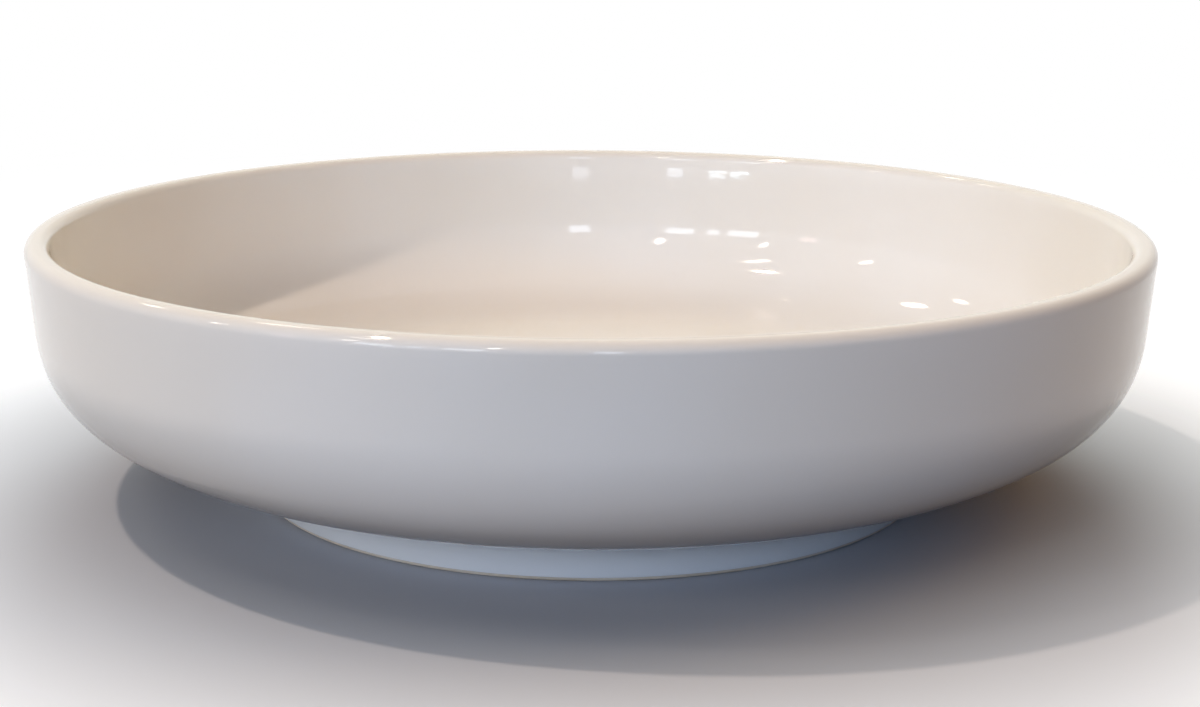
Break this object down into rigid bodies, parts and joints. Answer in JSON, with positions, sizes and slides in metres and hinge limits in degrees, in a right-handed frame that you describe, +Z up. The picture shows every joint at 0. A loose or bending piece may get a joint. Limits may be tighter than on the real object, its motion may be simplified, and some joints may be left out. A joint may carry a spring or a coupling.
{
  "type": "serving bowl",
  "caption": "Wide, shallow round serving bowl in glossy white glazed ceramic, with a near-upright wall, a rounded haunch and an inset foot ring to stand on.",
  "frame": {"origin": "centre of the circle that the foot ring stands on, at table height", "axes": "+Z up along the axis of the bowl, out of its mouth; X and Y are equal, and -Y faces the viewer of the picture"},
  "size_m": [0.305, 0.305, 0.0728],
  "materials": {
    "clay": "bare fired white stoneware, matte and slightly sandy",
    "slip": "fired luting slip, matte",
    "glaze": "glossy white glaze, slightly warm, with a faint wave"
  },
  "bodies": {
    "root": {"bowl_body": "clay", "foot_ring": "clay", "slip_seam": "slip", "glaze_coat": "glaze", "base_glaze": "glaze"}
  },
  "joints": []
}
